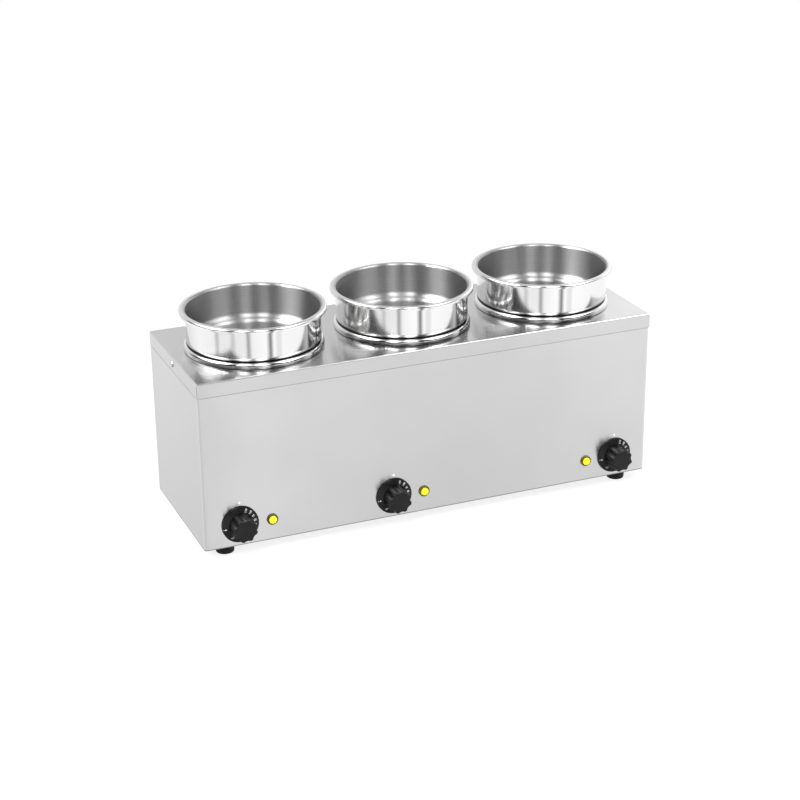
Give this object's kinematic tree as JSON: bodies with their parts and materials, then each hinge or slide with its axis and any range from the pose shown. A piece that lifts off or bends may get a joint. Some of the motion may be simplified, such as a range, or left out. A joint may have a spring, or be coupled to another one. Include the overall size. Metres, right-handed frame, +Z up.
{
  "type": "soup warmer",
  "caption": "Countertop electric soup warmer: folded stainless case with a row of round wells, lift-out stepped pots, thermostat knobs and pilot lamps.",
  "frame": {"origin": "on the worktop, under the middle of the case", "axes": "+X along the row of pots to the right as seen from the front, +Y from the knobs to the back, +Z up"},
  "size_m": [0.6628, 0.271, 0.308],
  "materials": {
    "brushed_stainless": "fine horizontal brushing",
    "polished_stainless": "spun and mirror polished",
    "screw_steel": "bright zinc plate",
    "black_knob_plastic": "moulded, satin, with white printed marks",
    "dark_bezel_plastic": "glossy dark ring",
    "yellow_lens": "translucent yellow",
    "black_rubber": "matt",
    "black_gland_plastic": "moulded polyamide",
    "heater_sheath": "heat-tinted tube",
    "cast_aluminium": "plain sheet",
    "glass_wool": "felted blanket",
    "thermostat_resin": "steatite and resin",
    "capillary_copper": "drawn copper",
    "terminal_white": "moulded",
    "wire_sheath": "silicone sleeve"
  },
  "bodies": {
    "case": {"top_cover": "brushed_stainless", "body_shell": "brushed_stainless", "back_panel": "brushed_stainless", "base_plate": "brushed_stainless", "well_left": "polished_stainless", "well_middle": "polished_stainless", "well_right": "polished_stainless", "cover_screws": "screw_steel", "back_screws": "screw_steel", "thermostat_screws": "screw_steel", "foot_screws": "screw_steel", "heater_nuts": "screw_steel", "heater_clamps": "screw_steel", "lamp_clips": "screw_steel", "bulb_clips": "screw_steel", "earth_stud": "screw_steel", "lamp_housing_left": "dark_bezel_plastic", "lamp_housing_middle": "dark_bezel_plastic", "lamp_housing_right": "dark_bezel_plastic", "lamp_lens_left": "yellow_lens", "lamp_lens_middle": "yellow_lens", "lamp_lens_right": "yellow_lens", "foot_front_left": "black_rubber", "foot_front_right": "black_rubber", "foot_rear_left": "black_rubber", "foot_rear_right": "black_rubber", "gland_seal": "black_rubber", "cable_gland": "black_gland_plastic", "gland_nut": "black_gland_plastic", "gland_locknut": "black_gland_plastic", "heater_left": "heater_sheath", "heater_middle": "heater_sheath", "heater_right": "heater_sheath", "heat_plate_left": "cast_aluminium", "heat_plate_middle": "cast_aluminium", "heat_plate_right": "cast_aluminium", "insulation_left": "glass_wool", "insulation_middle": "glass_wool", "insulation_right": "glass_wool", "thermostat_left": "thermostat_resin", "thermostat_middle": "thermostat_resin", "thermostat_right": "thermostat_resin", "capillary_left": "capillary_copper", "capillary_middle": "capillary_copper", "capillary_right": "capillary_copper", "terminal_block": "terminal_white", "supply_wires": "wire_sheath", "heater_wires": "wire_sheath", "lamp_wires": "wire_sheath"},
    "pot_left": {"pot_left": "polished_stainless"},
    "pot_middle": {"pot_middle": "polished_stainless"},
    "pot_right": {"pot_right": "polished_stainless"},
    "knob_left": {"knob_left": "black_knob_plastic", "thermostat_shaft_left": "screw_steel"},
    "knob_middle": {"knob_middle": "black_knob_plastic", "thermostat_shaft_middle": "screw_steel"},
    "knob_right": {"knob_right": "black_knob_plastic", "thermostat_shaft_right": "screw_steel"}
  },
  "joints": [
    {"name": "pot_lift_left", "type": "slide", "parent": "case", "child": "pot_left", "axis": [0, 0, 1], "range_m": [0, 0.2]},
    {"name": "pot_lift_middle", "type": "slide", "parent": "case", "child": "pot_middle", "axis": [0, 0, 1], "range_m": [0, 0.2]},
    {"name": "pot_lift_right", "type": "slide", "parent": "case", "child": "pot_right", "axis": [0, 0, 1], "range_m": [0, 0.2]},
    {"name": "knob_turn_left", "type": "hinge", "parent": "case", "child": "knob_left", "pos_m": [-0.28, -0.1108, 0.046], "axis": [0, -1, 0], "range_deg": [0, 261]},
    {"name": "knob_turn_middle", "type": "hinge", "parent": "case", "child": "knob_middle", "pos_m": [-0.06, -0.1108, 0.046], "axis": [0, -1, 0], "range_deg": [0, 261]},
    {"name": "knob_turn_right", "type": "hinge", "parent": "case", "child": "knob_right", "pos_m": [0.28, -0.1108, 0.046], "axis": [0, -1, 0], "range_deg": [0, 261]}
  ]
}
